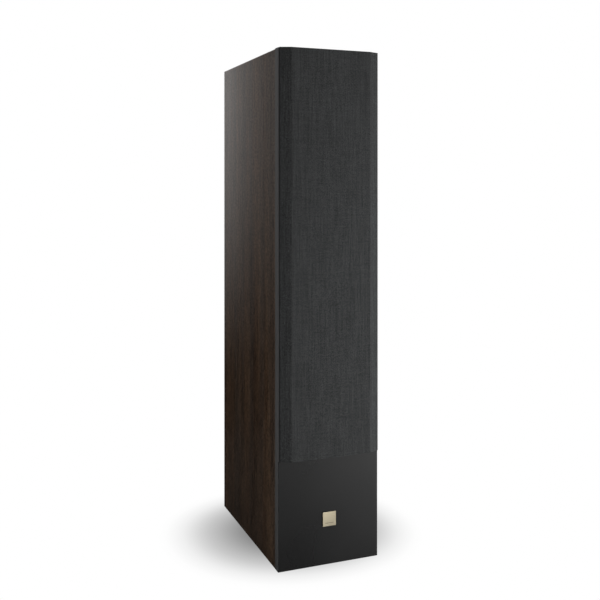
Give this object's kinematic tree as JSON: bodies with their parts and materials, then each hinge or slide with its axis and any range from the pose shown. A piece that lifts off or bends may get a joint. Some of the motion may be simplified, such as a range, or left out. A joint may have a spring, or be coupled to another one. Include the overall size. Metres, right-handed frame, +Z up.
{
  "type": "floorstanding loudspeaker",
  "caption": "Tall slim floorstanding loudspeaker with a wood-look cabinet, a black front baffle, a lift-off cloth grille and rear binding posts.",
  "frame": {"origin": "on the floor at the centre of the footprint", "axes": "+Z up, the speaker faces -Y, +X to the right as seen by a listener in front"},
  "size_m": [0.24, 0.443, 1.14],
  "materials": {
    "walnut_vinyl": "satin",
    "satin_black_lacquer": "satin",
    "black_laminate": "matte",
    "raw_fibreboard": "matte",
    "wadding": "matte",
    "black_moulding": "matte",
    "gold_plate": "polished",
    "insert_brass": "satin",
    "circuit_board": "satin",
    "copper_wire": "gloss",
    "capacitor_sleeve": "gloss",
    "white_ceramic": "matte",
    "cable_jacket": "satin",
    "cast_alloy_black": "satin",
    "zinc_steel": "satin",
    "ferrite": "matte",
    "cone_paper": "matte",
    "plug_alloy": "satin",
    "coil_winding": "satin",
    "surround_rubber": "satin",
    "spider_cloth": "matte",
    "tweeter_plate": "satin",
    "dome_silk": "satin",
    "black_screw_steel": "satin",
    "grille_cloth": "matte",
    "socket_rubber": "matte",
    "champagne_brass": "satin"
  },
  "bodies": {
    "cabinet": {"side_panel_left": "walnut_vinyl", "side_panel_right": "walnut_vinyl", "top_panel": "walnut_vinyl", "bottom_panel": "walnut_vinyl", "front_baffle": "satin_black_lacquer", "rear_panel": "black_laminate", "midrange_enclosure": "raw_fibreboard", "bass_divider": "raw_fibreboard", "window_braces": "raw_fibreboard", "damping_pads": "wadding", "port_tube_upper": "black_moulding", "port_tube_lower": "black_moulding", "terminal_cup": "black_moulding", "binding_posts": "gold_plate", "jumper_plates": "gold_plate", "threaded_inserts": "insert_brass", "crossover_board": "circuit_board", "crossover_inductors": "copper_wire", "crossover_capacitors": "capacitor_sleeve", "crossover_resistors": "white_ceramic", "internal_cables": "cable_jacket", "woofer_upper_basket": "cast_alloy_black", "woofer_lower_basket": "cast_alloy_black", "midrange_basket": "cast_alloy_black", "woofer_upper_motor": "zinc_steel", "woofer_lower_motor": "zinc_steel", "midrange_motor": "zinc_steel", "tweeter_motor": "zinc_steel", "driver_magnets": "ferrite", "midrange_phase_plug": "plug_alloy", "woofer_upper_surround": "surround_rubber", "woofer_lower_surround": "surround_rubber", "midrange_surround": "surround_rubber", "woofer_upper_spider": "spider_cloth", "woofer_lower_spider": "spider_cloth", "midrange_spider": "spider_cloth", "tweeter_faceplate": "tweeter_plate", "chassis_screws": "black_screw_steel", "grille_sockets": "socket_rubber", "badge": "champagne_brass"},
    "grille": {"grille_fabric": "grille_cloth", "grille_frame": "black_moulding"},
    "woofer_upper_diaphragm": {"woofer_upper_cone": "cone_paper", "woofer_upper_dust_cap": "cone_paper", "woofer_upper_voice_coil": "coil_winding"},
    "woofer_lower_diaphragm": {"woofer_lower_cone": "cone_paper", "woofer_lower_dust_cap": "cone_paper", "woofer_lower_voice_coil": "coil_winding"},
    "midrange_diaphragm": {"midrange_cone": "cone_paper", "midrange_voice_coil": "coil_winding"},
    "tweeter_dome": {"tweeter_diaphragm": "dome_silk", "tweeter_voice_coil": "coil_winding"},
    "clamp_1": {"clamp_washer_1": "gold_plate"},
    "knob_1": {"post_knob_1": "gold_plate"},
    "clamp_2": {"clamp_washer_2": "gold_plate"},
    "knob_2": {"post_knob_2": "gold_plate"},
    "clamp_3": {"clamp_washer_3": "gold_plate"},
    "knob_3": {"post_knob_3": "gold_plate"},
    "clamp_4": {"clamp_washer_4": "gold_plate"},
    "knob_4": {"post_knob_4": "gold_plate"}
  },
  "joints": [
    {"name": "grille_pull", "type": "slide", "parent": "cabinet", "child": "grille", "axis": [0, -1, 0], "range_m": [0, 0.15]},
    {"name": "woofer_upper_cone_stroke", "type": "slide", "parent": "cabinet", "child": "woofer_upper_diaphragm", "axis": [0, -1, 0], "range_m": [-0.006, 0.006], "stiffness_N_per_m": 1500, "deforming": ["woofer_upper_surround", "woofer_upper_spider"]},
    {"name": "woofer_lower_cone_stroke", "type": "slide", "parent": "cabinet", "child": "woofer_lower_diaphragm", "axis": [0, -1, 0], "range_m": [-0.006, 0.006], "stiffness_N_per_m": 1500, "deforming": ["woofer_lower_surround", "woofer_lower_spider"]},
    {"name": "midrange_cone_stroke", "type": "slide", "parent": "cabinet", "child": "midrange_diaphragm", "axis": [0, -1, 0], "range_m": [-0.003, 0.003], "stiffness_N_per_m": 1500, "deforming": ["midrange_surround", "midrange_spider"]},
    {"name": "tweeter_dome_stroke", "type": "slide", "parent": "cabinet", "child": "tweeter_dome", "axis": [0, -1, 0], "range_m": [-0.0003, 0.0003], "stiffness_N_per_m": 2500, "deforming": ["tweeter_diaphragm"]},
    {"name": "clamp_1_travel", "type": "slide", "parent": "cabinet", "child": "clamp_1", "axis": [0, 1, 0], "range_m": [0, 0.008]},
    {"name": "knob_1_turn", "type": "hinge", "parent": "clamp_1", "child": "knob_1", "pos_m": [-0.026, 0.207, 0.18], "axis": [0, 1, 0], "range_deg": [0, 2880]},
    {"name": "clamp_2_travel", "type": "slide", "parent": "cabinet", "child": "clamp_2", "axis": [0, 1, 0], "range_m": [0, 0.008]},
    {"name": "knob_2_turn", "type": "hinge", "parent": "clamp_2", "child": "knob_2", "pos_m": [0.026, 0.207, 0.18], "axis": [0, 1, 0], "range_deg": [0, 2880]},
    {"name": "clamp_3_travel", "type": "slide", "parent": "cabinet", "child": "clamp_3", "axis": [0, 1, 0], "range_m": [0, 0.008]},
    {"name": "knob_3_turn", "type": "hinge", "parent": "clamp_3", "child": "knob_3", "pos_m": [-0.026, 0.207, 0.14], "axis": [0, 1, 0], "range_deg": [0, 2880]},
    {"name": "clamp_4_travel", "type": "slide", "parent": "cabinet", "child": "clamp_4", "axis": [0, 1, 0], "range_m": [0, 0.008]},
    {"name": "knob_4_turn", "type": "hinge", "parent": "clamp_4", "child": "knob_4", "pos_m": [0.026, 0.207, 0.14], "axis": [0, 1, 0], "range_deg": [0, 2880]}
  ],
  "couplings": [
    {"joint": "knob_1_turn", "follows": "clamp_1_travel", "rad_per_m": 6283.2},
    {"joint": "knob_2_turn", "follows": "clamp_2_travel", "rad_per_m": 6283.2},
    {"joint": "knob_3_turn", "follows": "clamp_3_travel", "rad_per_m": 6283.2},
    {"joint": "knob_4_turn", "follows": "clamp_4_travel", "rad_per_m": 6283.2}
  ]
}
